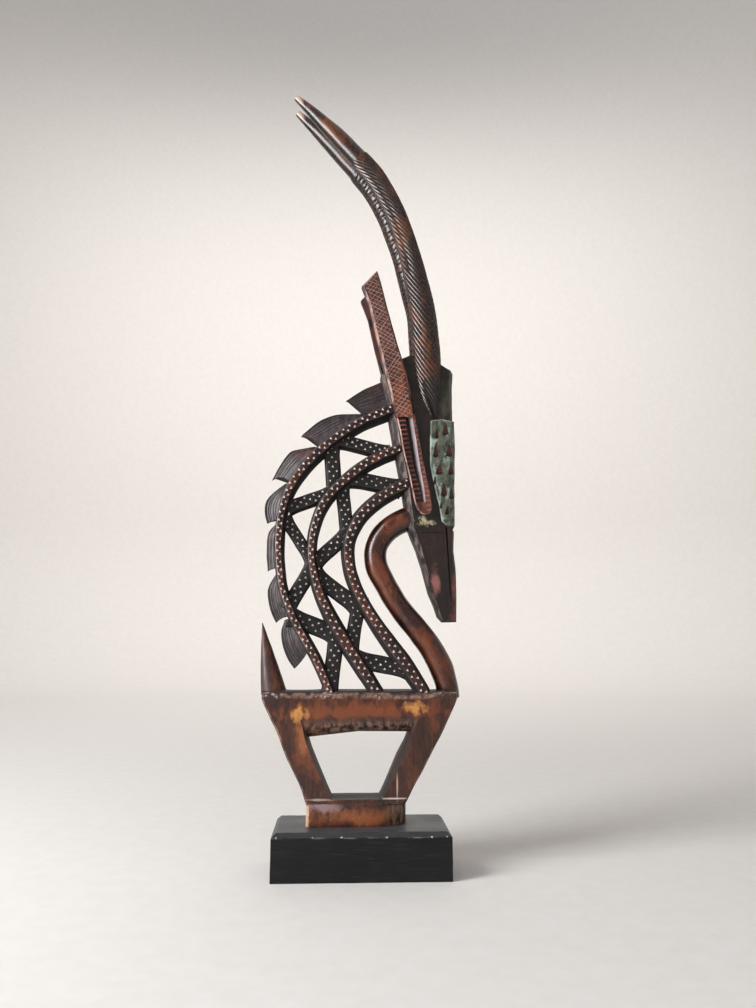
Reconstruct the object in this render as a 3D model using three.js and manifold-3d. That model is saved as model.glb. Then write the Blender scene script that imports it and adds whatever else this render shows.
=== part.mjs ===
// Standing antelope carved from one block of wood, fixed on a black painted plinth.
// Millimetres. +Z is up, +X is the way the animal faces, +Y is away from the viewer.
// The origin is the centre of the underside of the plinth.
import * as THREE from 'three';
import { mergeVertices } from 'three/addons/utils/BufferGeometryUtils.js';
import Module from 'manifold-3d';

// Driving dimensions of the plinth.
const PLINTH_LENGTH = 221;
const PLINTH_DEPTH = 104;
const PLINTH_HEIGHT = 57;
const PLINTH_CHAMFER = 5.6;
const FIT_GAP = 0.3;

// Middle plane of the carving and half depths measured from it.
const CARVING_Y = 8;
const BODY_HALF = 30;
const RIB_HALF = 23;
const STRUT_HALF = 13;
const HEAD_HALF = 22;
const FACE_HALF = 26;
const EAR_OUTER = 31.5;
const EAR_INNER = 20;
const STRAP_OUTER = 30;
const HORN_SPACING = 17.5;
const HORN_FLAT = 17;
const HORN_BOW = 5;
const NECK_FLAT = 17;
const MUZZLE_HALF = 13;

// Heights that several parts share.
const FOOT_TOP = 87;
const BACK_TOP = 222.5;
const MUZZLE_END = 311;
const EAR_ROOT = 676;

// Centre lines: x, z, half width across the line.
const OUTER_RIB = [
  [52, 606, 8.1], [29, 597, 8.1], [-1.5, 583, 7.2], [-30, 565, 7.2], [-57, 543, 7.8],
  [-80, 518, 7.4], [-98, 490, 6.8], [-108, 458, 6.2], [-111.5, 424, 6], [-110.5, 390, 5.6],
  [-105.5, 356, 5.4], [-94, 324, 5.8], [-78, 294, 6.2], [-61, 265, 6], [-46.5, 234, 5.8],
  [-39, 215, 5.8],
];
const MIDDLE_RIB = [
  [68, 552, 7.8], [44.5, 543.5, 7.8], [9, 527, 8], [-22, 503, 8], [-49, 474.5, 7.2],
  [-64, 438.5, 6.4], [-68, 399.5, 5.8], [-60.5, 361, 6.6], [-45, 325, 7.8], [-25.5, 291, 8.8],
  [-4, 258, 8.5], [17.5, 225, 7.8], [24, 214, 7.8],
];
const INNER_RIB = [
  [75, 503, 9.2], [54, 494.5, 9.2], [23, 476, 8.8], [-3, 451, 8.4], [-18, 418, 7.8],
  [-16.5, 382.5, 7.5], [-4, 348, 7.6], [14, 317, 7.8], [35, 287, 8.8], [57, 258, 9.2],
  [77, 228, 8.4], [85, 214, 8.4],
];
const NECK = [
  [82, 458, 16.5], [59, 450, 16.5], [35.5, 436.5, 16], [19.5, 414, 15.2], [18.5, 389, 15.5],
  [30, 364.5, 15], [43.5, 341, 15], [59.5, 319, 15.3], [77, 298, 15.5], [93, 276, 16],
  [106, 252, 16], [113.5, 226, 14.8], [115, 212, 14.8],
];

// Horn: x, z, half width, distance of its middle from the middle plane.
const HORN_TIP = [
  [-100, 1070, 4.6, 1], [-70.5, 1041.5, 9, 1], [-41, 1011.5, 12.4, 1], [-13.5, 981, 13.4, 1],
  [-4, 970.5, 13.6, 1],
];
const HORN_STEM = [
  [-7, 974, 14.6, 1], [14, 949, 14.8, 1], [35, 913, 14.4, 1], [51, 874.5, 14.6, 1],
  [63.5, 834.5, 15.2, 1], [72.5, 794, 16.8, 1], [81, 753, 18.2, 1], [85.5, 711, 19.4, 1],
  [88.5, 670, 19.2, 1], [92, 628, 14.6, 1.04], [98, 588, 3, 1.2],
];

// Struts between the ribs: x, z at one end, x, z at the other end, width of the strut.
const STRUTS = [
  [-34, 560, 35, 542, 17], [-44, 553, -38, 480, 20], [-102, 464, -42, 486, 17],
  [-105, 450, -68, 393, 15.5], [-66, 386, -101, 327, 19], [-96, 318, -38, 296, 22],
  [-33, 300, -43, 212, 20], [-20, 507, 53, 493, 20.5], [-29, 500, -20, 425, 18],
  [-20, 430, -64, 390, 19], [-62, 372, -6, 331, 20.5], [-3, 345, -15, 272, 18],
  [-8, 262, 62, 249, 21],
];

// Thin leaves of the mane: outline x, z and the half thickness there.
const MANE = [
  [[-24, 617, 2], [-2, 632, 2.5], [24, 644.5, 3], [40, 640, 14], [36, 598, 14], [4, 588, 13],
    [5, 603, 9]],
  [[-85.5, 565, 2], [-79, 572, 2.2], [-57, 589.5, 2.6], [-33.5, 597, 3], [0, 598.5, 6],
    [4, 588, 13], [-28, 567, 13], [-55, 547, 13], [-66, 559.5, 6]],
  [[-124, 503, 2], [-113, 525, 2.4], [-101, 542, 2.6], [-89, 546.5, 3], [-66, 551, 6],
    [-60, 541, 13], [-80, 519, 13], [-96, 494, 13], [-103.5, 509.5, 6]],
  [[-103.5, 500, 6], [-119, 488, 3], [-129, 478, 2.6], [-132.8, 468, 2.4], [-132.5, 455, 2.2],
    [-129.5, 443, 2], [-119, 447.5, 6], [-108, 446, 13], [-98, 490, 13]],
  [[-118, 442, 6], [-125, 434, 3], [-128.5, 424, 2.6], [-129, 400, 2.4], [-126.8, 378, 2],
    [-117.5, 383, 6], [-108, 380, 13], [-109, 444, 13]],
  [[-117, 374, 6], [-123.5, 362, 3], [-126.3, 348, 2.6], [-122.5, 328, 2.4], [-114.5, 310, 2],
    [-105, 317.5, 6], [-94, 320, 13], [-107, 372, 13]],
  [[-104.5, 311, 6], [-107.2, 298, 3], [-104.5, 278, 2.6], [-98, 263, 2.4], [-89, 250, 2],
    [-79, 260.5, 6], [-70, 281, 13], [-92, 316, 13]],
];

// Side outline of the head and muzzle: x, z, width of the side bevel.
const HEAD = [
  [24, 652, 8], [33, 607, 8], [42, 553, 8], [50, 512, 8], [55, 480, 8], [62, 434, 7],
  [73, 407, 6], [80, 384, 5], [89, 350, 4], [96, 333, 4], [101, 318, 4], [107.5, 311, 2],
  [126.5, 311.5, 2.5], [127, 350, 3], [126, 384, 3], [123.5, 406, 3], [124, 434, 3],
  [123.6, 500, 3], [124.6, 545, 3], [124, 585, 4], [123.5, 630, 5], [125, 655, 5],
  [122, 661, 4], [109, 667, 2], [65, 680.5, 2], [53.5, 676.5, 3],
];
const EAR = [
  [-3.5, 775, 2], [6.5, 748, 2.5], [16.5, 703, 2.5], [26.5, 663, 2.5], [37, 618, 2.5],
  [44.5, 586, 1], [69, 586, 1], [65, 619, 2], [58.5, 651, 2], [52, 673, 2], [47.5, 688, 2],
  [34.5, 736, 2], [23.5, 781, 2], [18, 799, 1],
];
const STRAP = [
  [43.5, 592, 1.5], [49.4, 568, 1.5], [53.5, 541, 1.5], [59, 519, 1.5], [65.5, 488, 1.5],
  [69, 470, 1.5], [72.5, 461, 1.5], [78, 454.5, 1.5], [84.5, 452.5, 1.5], [90, 455.5, 1.5],
  [92.5, 463, 1.5], [90, 484, 1.5], [84.5, 508, 1.5], [80, 533, 1.5], [76, 556, 1.5],
  [70, 592, 1.5],
];
const STRAP_SLOT = [[58.5, 590], [62.5, 590], [71, 541], [81, 486], [77.5, 480], [66, 541]];
const FACE = [
  [92, 584, 2], [91, 551, 2], [90.5, 522, 2], [93, 510, 2], [98, 485, 2], [102.5, 466, 2],
  [106, 445, 2], [114, 438, 2], [123.2, 438, 2.5], [124, 500, 2.5], [125.2, 545, 2.5],
  [124.2, 583, 2.5], [108, 587, 2],
];

// Chip cut pockets of the face: x, z of the flat lower side's middle, width, height.
const CHIPS = [
  [112, 565, 9, 17], [98.5, 534, 8, 21], [117, 535, 10, 17], [103, 510, 11, 14],
  [119, 510, 8, 17], [109, 480, 9, 18], [119, 476, 7, 15], [113, 455, 6, 12],
];
const CHIP_DEPTH = 5;

// Body with its legs, seen from the side.
const FRAME = [
  [-128.5, BACK_TOP], [-129, 214], [-126, 206], [-105, 164], [-94, 138], [-79, 109],
  [-71, 88], [-69, 83], [55, 83], [58, 88], [69.5, 110], [89.5, 146], [106.5, 177],
  [120.5, 206], [123.5, 215], [124, BACK_TOP],
];
const LEG_BAY_FRONT = [
  [-80, 188], [-71.5, 160], [-58, 128.5], [-39, 90], [26, 90], [52, 135], [66.5, 169.5],
  [75, 191], [-2, 190.5],
];
const LEG_BAY_WAIST = [
  [-69, 164], [-64, 149], [-54, 126], [-37.5, 88.5], [23.5, 88.5], [46.5, 141], [57, 160],
  [61.5, 170.5], [-4, 171],
];
const LEG_BAY_BACK = [
  [-80, 188], [-71.5, 160], [-58, 128.5], [-37, 84], [23, 84], [52, 135], [66.5, 169.5],
  [75, 191], [-2, 190.5],
];
const BAY_WAIST_HALF = 9;
const FOOT_PLAN = [
  [-70, -26], [-66, -30], [12, -30], [32, -27], [46, -20], [55, -9], [58, 4], [57, 20],
  [50, 28], [40, 30], [-66, 30], [-70, 26],
];

const TAIL_RADIUS = 17.5;
const TAIL_DEPTH_RADIUS = 15;
const TAIL_BASE_X = -114.5;
const TAIL_APEX = [-132.6, 310];

const wasm = await Module();
wasm.setup();

// Closed solid from a geometry whose shared corners are merged.
function solid(geometry) {
  const bare = geometry.clone();
  bare.deleteAttribute('normal');
  bare.deleteAttribute('uv');
  const merged = mergeVertices(bare, 1e-3);
  const index = merged.index
    ? merged.index.array
    : [...Array(merged.attributes.position.count).keys()];
  return new wasm.Manifold(new wasm.Mesh({
    numProp: 3,
    vertProperties: new Float32Array(merged.attributes.position.array),
    triVerts: new Uint32Array(index),
  }));
}

// Geometry of a finished solid.
function geometryOf(body) {
  const mesh = body.getMesh();
  const geometry = new THREE.BufferGeometry();
  geometry.setAttribute('position', new THREE.BufferAttribute(mesh.vertProperties, 3));
  geometry.setIndex(new THREE.BufferAttribute(mesh.triVerts, 1));
  const faceted = geometry.toNonIndexed();
  faceted.computeVertexNormals();
  return faceted;
}

// Moves every corner of a geometry by a rule.
function remap(geometry, rule) {
  const position = geometry.attributes.position;
  const corner = new THREE.Vector3();
  for (let i = 0; i < position.count; i += 1) {
    corner.fromBufferAttribute(position, i);
    const [x, y, z] = rule(corner.x, corner.y, corner.z);
    position.setXYZ(i, x, y, z);
  }
  return geometry;
}

// Makes the faces point out whichever way round the outline runs.
function outward(geometry) {
  const body = solid(geometry);
  if (body.volume() >= 0) {
    return body;
  }
  return solid(remap(geometry, (x, y, z) => [x, -y, z])).mirror([0, 1, 0]);
}

// Outline moved inwards by each point's own bevel.
function inset(points, scale = 1) {
  const area = THREE.ShapeUtils.area(points.map(([x, z]) => new THREE.Vector2(x, z)));
  const side = area > 0 ? 1 : -1;
  return points.map(([x, z, bevel = 1], i) => {
    const before = points[(i + points.length - 1) % points.length];
    const after = points[(i + 1) % points.length];
    const a = new THREE.Vector2(x - before[0], z - before[1]).normalize();
    const b = new THREE.Vector2(after[0] - x, after[1] - z).normalize();
    const bisector = new THREE.Vector2(-(a.y + b.y), a.x + b.x).normalize();
    const lean = Math.abs(bisector.dot(new THREE.Vector2(-a.y, a.x)));
    const reach = Math.min(1.6, 1 / Math.max(0.3, lean));
    const shift = side * bevel * scale * reach;
    return [x + bisector.x * shift, z + bisector.y * shift];
  });
}

// Stack of outlines with the same number of points, joined level by level.
// Each level gives its outline and the third coordinate.
function layered(levels, place) {
  const base = levels[0].outline;
  const shape = new THREE.Shape(base.map(([x, z]) => new THREE.Vector2(x, z)));
  const steps = levels.length - 1;
  const geometry = new THREE.ExtrudeGeometry(shape, { depth: steps, steps, bevelEnabled: false });
  return outward(remap(geometry, (x, y, z) => {
    const i = base.findIndex((p) => Math.hypot(p[0] - x, p[1] - y) < 1e-3);
    const k = Math.round(z);
    const [px, pz] = levels[k].outline[i];
    return place(px, pz, levels[k].at, i, k);
  }));
}

const sideways = (x, z, y) => [x, y, z];
const upwards = (x, y, z) => [x, y, z];

// Plate seen from the side, bevelled on the face at `outer`, square at `inner`.
function cheekPlate(points, outer, inner, drop) {
  const rim = inset(points);
  return layered([
    { outline: points, at: inner },
    { outline: points, at: outer - Math.sign(outer) * drop },
    { outline: rim, at: outer },
  ], sideways);
}

// Bar that follows a centre line. The section is given in units of half width and half depth.
function bar(line, section, steps, half) {
  const shape = new THREE.Shape(section.map(([a, b]) => new THREE.Vector2(a, b)));
  const geometry = new THREE.ExtrudeGeometry(shape, { depth: 1, steps, bevelEnabled: false });
  const spine = new THREE.CatmullRomCurve3(line.map(([x, z]) => new THREE.Vector3(x, 0, z)));
  const gauge = new THREE.CatmullRomCurve3(
    line.map(([, , w, s = 0]) => new THREE.Vector3(w, half(w), s)),
  );
  return outward(remap(geometry, (a, b, t) => {
    const along = THREE.MathUtils.clamp(t, 0, 1);
    const point = spine.getPoint(along);
    const tangent = spine.getTangent(along);
    const size = gauge.getPoint(along);
    return [
      point.x + tangent.z * a * size.x,
      size.z * HORN_SPACING + b * size.y,
      point.z - tangent.x * a * size.x,
    ];
  }));
}

function ring(sides, turn = 0) {
  return [...Array(sides).keys()].map((i) => {
    const angle = turn + (2 * Math.PI * i) / sides;
    return [Math.cos(angle), Math.sin(angle)];
  });
}

// A rib bulges more on its outer edge than on its inner edge.
const RIB_SECTION = [
  [0.8, -1], [1.05, -0.86], [1.35, 0], [1.05, 0.86], [0.8, 1],
  [-0.8, 1], [-1.05, 0.86], [-1.15, 0], [-1.05, -0.86], [-0.8, -1],
];
const STRUT_SECTION = [
  [0.62, -1], [1, -0.75], [1.08, 0], [1, 0.75], [0.62, 1],
  [-0.62, 1], [-1, 0.75], [-1.08, 0], [-1, -0.75], [-0.62, -1],
];

function rib(line) {
  return bar(line, RIB_SECTION, (line.length - 1) * 2, () => RIB_HALF);
}

// Straight bar between two ribs with bevelled long edges.
function strut([x1, z1, x2, z2, width]) {
  return bar([[x1, z1, width / 2], [x2, z2, width / 2]], STRUT_SECTION, 1, () => STRUT_HALF);
}

function leaf(points) {
  return layered([
    { outline: points, at: -1 },
    { outline: points, at: 1 },
  ], (x, z, side, i) => [x, side * points[i][2], z]);
}

// The horns stand side by side. The one on the far side bows back a little more.
function horn(side) {
  const flat = (w) => Math.min(w, HORN_FLAT);
  const bow = (line) => line.map(([x, z, w, s]) => {
    const rise = THREE.MathUtils.clamp((z - 760) / 230, 0, 1);
    return [side < 0 ? x : x - HORN_BOW * Math.sin(Math.PI * rise), z, w, s];
  });
  const tip = bar(bow(HORN_TIP), ring(10), 8, flat);
  const stem = bar(bow(HORN_STEM), ring(10), 20, flat);
  const both = tip.add(stem);
  return side > 0 ? both : both.mirror([0, 1, 0]);
}

function plinth() {
  const w = PLINTH_LENGTH / 2;
  const d = PLINTH_DEPTH / 2;
  const plan = [[-w, -d], [w, -d], [w, d], [-w, d]];
  const top = plan.map(([x, y]) => [
    x - Math.sign(x) * PLINTH_CHAMFER,
    y - Math.sign(y) * PLINTH_CHAMFER,
  ]);
  return layered([
    { outline: plan, at: 0 },
    { outline: plan, at: PLINTH_HEIGHT - PLINTH_CHAMFER },
    { outline: top, at: PLINTH_HEIGHT },
  ], upwards);
}

// Body, legs and foot with the open bay between the legs.
function stand() {
  const rim = inset(FRAME, 2);
  const block = layered([
    { outline: rim, at: -BODY_HALF },
    { outline: FRAME, at: -BODY_HALF + 3 },
    { outline: FRAME, at: BODY_HALF - 3 },
    { outline: rim, at: BODY_HALF },
  ], sideways);
  const bay = layered([
    { outline: LEG_BAY_FRONT, at: -BODY_HALF - 1 },
    { outline: LEG_BAY_WAIST, at: -BAY_WAIST_HALF },
    { outline: LEG_BAY_WAIST, at: BAY_WAIST_HALF },
    { outline: LEG_BAY_BACK, at: BODY_HALF + 1 },
  ], sideways);
  const foot = layered([
    { outline: FOOT_PLAN, at: PLINTH_HEIGHT + FIT_GAP },
    { outline: FOOT_PLAN, at: FOOT_TOP },
  ], upwards);
  const tail = new THREE.ConeGeometry(1, 1, 10, 1);
  const spike = outward(remap(tail, (x, y, z) => {
    const rise = y + 0.5;
    return [
      TAIL_BASE_X + (TAIL_APEX[0] - TAIL_BASE_X) * rise + x * TAIL_RADIUS,
      z * TAIL_DEPTH_RADIUS,
      BACK_TOP - 6 + (TAIL_APEX[1] - BACK_TOP + 6) * rise,
    ];
  }));
  return block.subtract(bay).add(foot).add(spike);
}

function chipPocket([x, z, width, height]) {
  const outline = [[x - width / 2, z], [x + width / 2, z], [x + width * 0.1, z + height]];
  return layered([
    { outline, at: 0 },
    { outline, at: 1 },
  ], (px, pz, k) => {
    const deep = CHIP_DEPTH * (1 - (pz - z) / height);
    return [px, k === 0 ? -FACE_HALF + deep : -FACE_HALF - 3, pz];
  });
}

function head() {
  const rim = inset(HEAD);
  const taper = (z) => {
    const low = THREE.MathUtils.clamp((480 - z) / (480 - MUZZLE_END), 0, 1);
    return THREE.MathUtils.lerp(HEAD_HALF, MUZZLE_HALF, low) / HEAD_HALF;
  };
  const block = layered([
    { outline: rim, at: -HEAD_HALF },
    { outline: HEAD, at: -HEAD_HALF * 0.55 },
    { outline: HEAD, at: HEAD_HALF * 0.55 },
    { outline: rim, at: HEAD_HALF },
  ], (x, z, y) => [x, y * taper(z), z]);

  const face = cheekPlate(FACE, -FACE_HALF, -8, 2);
  const chips = CHIPS.map(chipPocket);
  const carvedFace = chips.reduce((body, chip) => body.subtract(chip), face);

  const ear = layered([
    { outline: EAR, at: -EAR_INNER },
    { outline: EAR, at: -EAR_OUTER + 3 },
    { outline: inset(EAR), at: -EAR_OUTER },
  ], (x, z, y, i, k) => [x, k === 0 && z < EAR_ROOT ? -8 : y, z]);

  const strap = cheekPlate(STRAP, -STRAP_OUTER, -8, 1.5);
  const slot = layered([
    { outline: STRAP_SLOT, at: -STRAP_OUTER - 1 },
    { outline: STRAP_SLOT, at: -STRAP_OUTER + 8 },
  ], sideways);

  const groove = layered([
    { outline: [[110.5, 438], [113.5, 438], [119.5, 345], [117, 345]], at: -HEAD_HALF - 1 },
    { outline: [[110.5, 438], [113.5, 438], [119.5, 345], [117, 345]], at: -12.5 },
  ], sideways);
  const side = carvedFace.add(ear).add(strap).subtract(slot);
  const nose = new THREE.BoxGeometry(16, 80, 4.5).translate(130, 0, 435.5);
  return block
    .add(side)
    .add(side.mirror([0, 1, 0]))
    .subtract(groove)
    .subtract(groove.mirror([0, 1, 0]))
    .subtract(solid(nose));
}

function antelope() {
  const parts = [
    stand(),
    rib(OUTER_RIB),
    rib(MIDDLE_RIB),
    rib(INNER_RIB),
    bar(NECK, ring(12), 24, () => NECK_FLAT),
    ...STRUTS.map(strut),
    ...MANE.map(leaf),
    head(),
    horn(1),
    horn(-1),
  ];
  const whole = parts.reduce((sum, piece) => sum.add(piece));
  if (whole.decompose().length !== 1) {
    throw new Error('the carving is not one body');
  }
  return whole;
}

function node(name, body, colour, roughness) {
  const material = new THREE.MeshStandardMaterial({ color: colour, roughness, metalness: 0 });
  const mesh = new THREE.Mesh(geometryOf(body), material);
  mesh.name = name;
  return mesh;
}

const group = new THREE.Group();
group.name = 'antelope_on_plinth';
group.add(node('plinth', plinth(), 0x15161a, 0.55));
const carving = node('antelope', antelope(), 0x4a2a1c, 0.45);
carving.position.y = CARVING_Y;
group.add(carving);

export default group;
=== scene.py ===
# Looks of a standing antelope carved from one block of dark wood, on a black painted plinth.
# Sizes are millimetres in the carving's own frame until a mesh is made: +Z is up, +X is the way the
# animal faces, y = 0 is the carving's middle plane, and the near side has negative y.
import math

import bmesh
import bpy
import numpy as np
from mathutils import Matrix, Vector, noise


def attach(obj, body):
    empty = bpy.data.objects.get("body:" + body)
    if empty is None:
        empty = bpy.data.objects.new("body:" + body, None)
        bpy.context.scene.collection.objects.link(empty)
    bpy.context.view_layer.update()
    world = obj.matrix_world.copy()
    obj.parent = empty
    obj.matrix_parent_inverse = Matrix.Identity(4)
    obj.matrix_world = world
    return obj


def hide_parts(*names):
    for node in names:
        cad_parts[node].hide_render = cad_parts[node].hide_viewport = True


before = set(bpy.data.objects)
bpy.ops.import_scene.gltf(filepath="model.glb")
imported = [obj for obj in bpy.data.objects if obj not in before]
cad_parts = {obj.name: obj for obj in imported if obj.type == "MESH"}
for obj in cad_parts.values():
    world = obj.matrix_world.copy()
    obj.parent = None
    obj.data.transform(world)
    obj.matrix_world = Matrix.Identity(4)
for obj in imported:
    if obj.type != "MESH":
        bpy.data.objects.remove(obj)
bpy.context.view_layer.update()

MM = 0.001
CARVING_Y = 8
PLINTH_SIZE = (221, 104, 57)
PLINTH_CHAMFER = 5.6
FIT_GAP = 0.3

BODY_HALF = 30
RIB_HALF = 23
STRUT_HALF = 13
HEAD_HALF = 22
FACE_HALF = 26
EAR_OUTER = 31.5
EAR_INNER = 20
STRAP_OUTER = 30
HORN_SPACING = 17.5
HORN_FLAT = 17
HORN_BOW = 5
NECK_FLAT = 17
MUZZLE_HALF = 13
MUZZLE_TAPER = (311, 480)
FOOT_TOP = 87
BACK_TOP = 222.5
EAR_ROOT = 676

# Centre lines: x, z, half width across the line.
OUTER_RIB = [
    (52, 606, 8.1), (29, 597, 8.1), (-1.5, 583, 7.2), (-30, 565, 7.2), (-57, 543, 7.8),
    (-80, 518, 7.4), (-98, 490, 6.8), (-108, 458, 6.2), (-111.5, 424, 6), (-110.5, 390, 5.6),
    (-105.5, 356, 5.4), (-94, 324, 5.8), (-78, 294, 6.2), (-61, 265, 6), (-46.5, 234, 5.8),
    (-39, 215, 5.8),
]
MIDDLE_RIB = [
    (68, 552, 7.8), (44.5, 543.5, 7.8), (9, 527, 8), (-22, 503, 8), (-49, 474.5, 7.2),
    (-64, 438.5, 6.4), (-68, 399.5, 5.8), (-60.5, 361, 6.6), (-45, 325, 7.8), (-25.5, 291, 8.8),
    (-4, 258, 8.5), (17.5, 225, 7.8), (24, 214, 7.8),
]
INNER_RIB = [
    (75, 503, 9.2), (54, 494.5, 9.2), (23, 476, 8.8), (-3, 451, 8.4), (-18, 418, 7.8),
    (-16.5, 382.5, 7.5), (-4, 348, 7.6), (14, 317, 7.8), (35, 287, 8.8), (57, 258, 9.2),
    (77, 228, 8.4), (85, 214, 8.4),
]
NECK = [
    (82, 458, 16.5), (59, 450, 16.5), (35.5, 436.5, 16), (19.5, 414, 15.2), (18.5, 389, 15.5),
    (30, 364.5, 15), (43.5, 341, 15), (59.5, 319, 15.3), (77, 298, 15.5), (93, 276, 16),
    (106, 252, 16), (113.5, 226, 14.8), (115, 212, 14.8),
]
# Horns: x, z, half width, distance of the middle from the middle plane in horn spacings.
HORN_TIP = [
    (-100, 1070, 4.6, 1), (-70.5, 1041.5, 9, 1), (-41, 1011.5, 12.4, 1), (-13.5, 981, 13.4, 1),
    (-4, 970.5, 13.6, 1),
]
HORN_STEM = [
    (-7, 974, 14.6, 1), (14, 949, 14.8, 1), (35, 913, 14.4, 1), (51, 874.5, 14.6, 1),
    (63.5, 834.5, 15.2, 1), (72.5, 794, 16.8, 1), (81, 753, 18.2, 1), (85.5, 711, 19.4, 1),
    (88.5, 670, 19.2, 1), (92, 628, 14.6, 1.04), (98, 588, 3, 1.2),
]
# Struts: x, z at one end, x, z at the other end, width.
STRUTS = [
    (-34, 560, 35, 542, 17), (-44, 553, -38, 480, 20), (-102, 464, -42, 486, 17),
    (-105, 450, -68, 393, 15.5), (-66, 386, -101, 327, 19), (-96, 318, -38, 296, 22),
    (-33, 300, -43, 212, 20), (-20, 507, 53, 493, 20.5), (-29, 500, -20, 425, 18),
    (-20, 430, -64, 390, 19), (-62, 372, -6, 331, 20.5), (-3, 345, -15, 272, 18),
    (-8, 262, 62, 249, 21),
]
# Mane leaves: free edge, root line, and how far the lower and upper sides bow (x, z).
LEAVES = [
    ([(-24, 617), (-2, 632), (24, 644.5)], [(8, 590), (20, 596), (38, 606)], (0, 5), (6, 0)),
    ([(-85.5, 565), (-79, 572), (-57, 589.5), (-33.5, 597), (0, 598.5)],
     [(-58, 549), (-40, 560), (-22, 571), (-4, 582), (8, 588)], (0, 5), (0, 0)),
    ([(-124, 503), (-113, 525), (-101, 542), (-89, 546.5), (-66, 551)],
     [(-96, 496), (-88, 510), (-78, 522), (-68, 533), (-58, 543)], (0, 7), (0, 0)),
    ([(-129.5, 443), (-132.5, 455), (-132.8, 468), (-129, 478), (-119, 488), (-105, 499)],
     [(-108, 446), (-108, 458), (-105, 470), (-102, 480), (-98, 490)], (0, 3), (0, 0)),
    ([(-126.8, 378), (-129, 400), (-128.5, 424), (-125, 434), (-116, 444)],
     [(-108, 381), (-109, 400), (-109, 420), (-109, 440)], (0, 3.5), (0, 0)),
    ([(-114.5, 310), (-122.5, 328), (-126.3, 348), (-123.5, 362), (-115, 376)],
     [(-94, 318), (-101, 335), (-105, 352), (-107, 372)], (0, 3.5), (0, 0)),
    ([(-89, 250), (-98, 263), (-104.5, 278), (-107.2, 298), (-103, 314)],
     [(-68, 278), (-78, 290), (-85, 302), (-92, 316)], (0, -2.5), (0, 0)),
]
LEAF_EDGE_HALF = 2.2
LEAF_ROOT_HALF = 13
LEAF_CUTS = (0.12, 0.24, 0.33, 0.48, 0.6)
LEAF_CUT_DEPTH = 0.4

# Side outlines: x, z, width of the side bevel.
HEAD = [
    (24, 652, 8), (33, 607, 8), (42, 553, 8), (50, 512, 8), (55, 480, 8), (62, 434, 7),
    (73, 407, 6), (80, 384, 5), (89, 350, 4), (96, 333, 4), (101, 318, 4), (107.5, 311, 2),
    (126.5, 311.5, 2.5), (127, 350, 3), (126, 384, 3), (123.5, 406, 3), (124, 434, 3),
    (123.6, 500, 3), (124.6, 545, 3), (124, 585, 4), (123.5, 630, 5), (125, 655, 5),
    (122, 661, 4), (109, 667, 2), (65, 680.5, 2), (53.5, 676.5, 3),
]
EAR = [
    (-3.5, 775, 2), (6.5, 748, 2.5), (16.5, 703, 2.5), (26.5, 663, 2.5), (37, 618, 2.5),
    (44.5, 586, 1), (69, 586, 1), (65, 619, 2), (58.5, 651, 2), (52, 673, 2), (47.5, 688, 2),
    (34.5, 736, 2), (23.5, 781, 2), (18, 799, 1),
]
STRAP = [
    (43.5, 592, 1.5), (49.4, 568, 1.5), (53.5, 541, 1.5), (59, 519, 1.5), (65.5, 488, 1.5),
    (69, 470, 1.5), (72.5, 461, 1.5), (78, 454.5, 1.5), (84.5, 452.5, 1.5), (90, 455.5, 1.5),
    (92.5, 463, 1.5), (90, 484, 1.5), (84.5, 508, 1.5), (80, 533, 1.5), (76, 556, 1.5),
    (70, 592, 1.5),
]
FACE = [
    (92, 584, 2), (91, 551, 2), (90.5, 522, 2), (93, 510, 2), (98, 485, 2), (102.5, 466, 2),
    (106, 445, 2), (114, 438, 2), (123.2, 438, 2.5), (124, 500, 2.5), (125.2, 545, 2.5),
    (124.2, 583, 2.5), (108, 587, 2),
]
# Strap at a height: z, outer rim, right end of the cells, foot and top of the slot's right wall,
# right edge.
STRAP_STRIPS = [
    (466, 70.8, 79.6, 80.0, 84.2, 92.5), (486.5, 66.6, 76.3, 77.7, 82.7, 90.5),
    (520.7, 58.2, 67.8, 71.0, 76.7, 84.1), (555, 52.2, 61.7, 66.6, 72.1, 78.3),
    (588.5, 44.9, 56.4, 61.3, 66.4, 71.7),
]
STRAP_CELLS = 19
# Chip cut pockets of the face: x, z of the lower side's middle, width, height.
CHIPS = [
    (112, 565, 9, 17), (98.5, 534, 8, 21), (117, 535, 10, 17), (103, 510, 11, 14),
    (119, 510, 8, 17), (109, 480, 9, 18), (119, 476, 7, 15), (113, 455, 6, 12),
    (100, 560, 6, 14), (97, 496, 4, 13), (105, 463, 4, 10),
]
CHIP_DEPTH = 5

FRAME = [
    (-128.5, BACK_TOP), (-129, 214), (-126, 206), (-105, 164), (-94, 138), (-79, 109),
    (-71, 88), (-69, 83), (55, 83), (58, 88), (69.5, 110), (89.5, 146), (106.5, 177),
    (120.5, 206), (123.5, 215), (124, BACK_TOP),
]
BAY_FRONT = [
    (-80, 188), (-71.5, 160), (-58, 128.5), (-39, 90), (26, 90), (52, 135), (66.5, 169.5),
    (75, 191), (-2, 190.5),
]
BAY_WAIST = [
    (-69, 164), (-64, 149), (-54, 126), (-37.5, 88.5), (23.5, 88.5), (46.5, 141), (57, 160),
    (61.5, 170.5), (-4, 171),
]
BAY_BACK = [
    (-80, 188), (-71.5, 160), (-58, 128.5), (-37, 84), (23, 84), (52, 135), (66.5, 169.5),
    (75, 191), (-2, 190.5),
]
BAY_WAIST_HALF = 9
BELLY_ROUND = 6
FOOT_PLAN = [
    (-70, -26), (-66, -30), (12, -30), (32, -27), (46, -20), (55, -9), (58, 4), (57, 20),
    (50, 28), (40, 30), (-66, 30), (-70, 26),
]
TAIL_BASE = (-114.5, BACK_TOP - 6)
TAIL_APEX = (-132.6, 310)
TAIL_RADII = (17.5, 15)

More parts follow.
